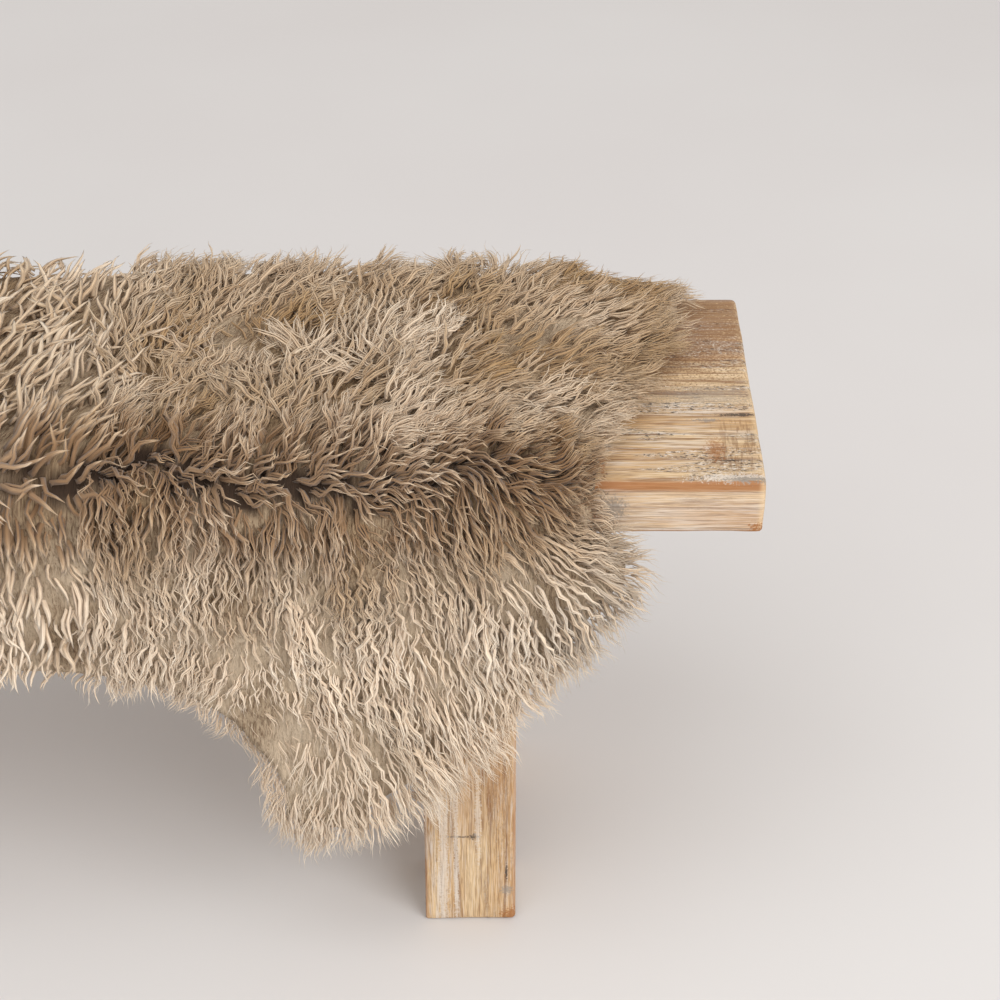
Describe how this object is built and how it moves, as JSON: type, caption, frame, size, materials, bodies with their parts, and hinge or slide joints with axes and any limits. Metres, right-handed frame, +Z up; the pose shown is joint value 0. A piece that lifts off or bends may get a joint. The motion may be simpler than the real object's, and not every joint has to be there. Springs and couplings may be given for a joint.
{
  "type": "double sheepskin rug over wooden bench",
  "caption": "Long-haired double sheepskin lying along a rustic plank bench, its wool falling over the front and back edges.",
  "frame": {"origin": "on the floor under the middle of the whole thing's extent", "axes": "+Z up, +X along the bench to its right end, -Y the front, where the longer side of the rug hangs"},
  "size_m": [2, 0.3946, 0.5387],
  "materials": {
    "bench_wood": "old sawn softwood, worn bare, with the last of a pale paint in its grain",
    "fleece": "long wavy sheep's wool on tanned leather, taupe and dark at the roots",
    "fleece_tips": "open ends of the wool locks, bleached paler by the light"
  },
  "bodies": {
    "root": {"seat": "bench_wood", "leg_front_left": "bench_wood", "leg_back_left": "bench_wood", "leg_front_right": "bench_wood", "leg_back_right": "bench_wood", "pelt_right": "fleece", "pelt_left": "fleece", "locks_front_edge_right_1": "fleece_tips", "locks_front_edge_right_2": "fleece_tips", "locks_front_edge_right_3": "fleece_tips", "locks_front_edge_right_4": "fleece_tips", "locks_front_end_right": "fleece_tips", "locks_top_end_right": "fleece_tips", "locks_back_end_right": "fleece_tips", "locks_back_edge_right_1": "fleece_tips", "locks_back_edge_right_2": "fleece_tips", "locks_back_edge_right_3": "fleece_tips", "locks_front_edge_left_1": "fleece_tips", "locks_front_edge_left_2": "fleece_tips", "locks_front_edge_left_3": "fleece_tips", "locks_front_edge_left_4": "fleece_tips", "locks_front_end_left": "fleece_tips", "locks_top_end_left": "fleece_tips", "locks_back_end_left": "fleece_tips", "locks_back_edge_left_1": "fleece_tips", "locks_back_edge_left_2": "fleece_tips", "locks_back_edge_left_3": "fleece_tips"}
  },
  "joints": []
}
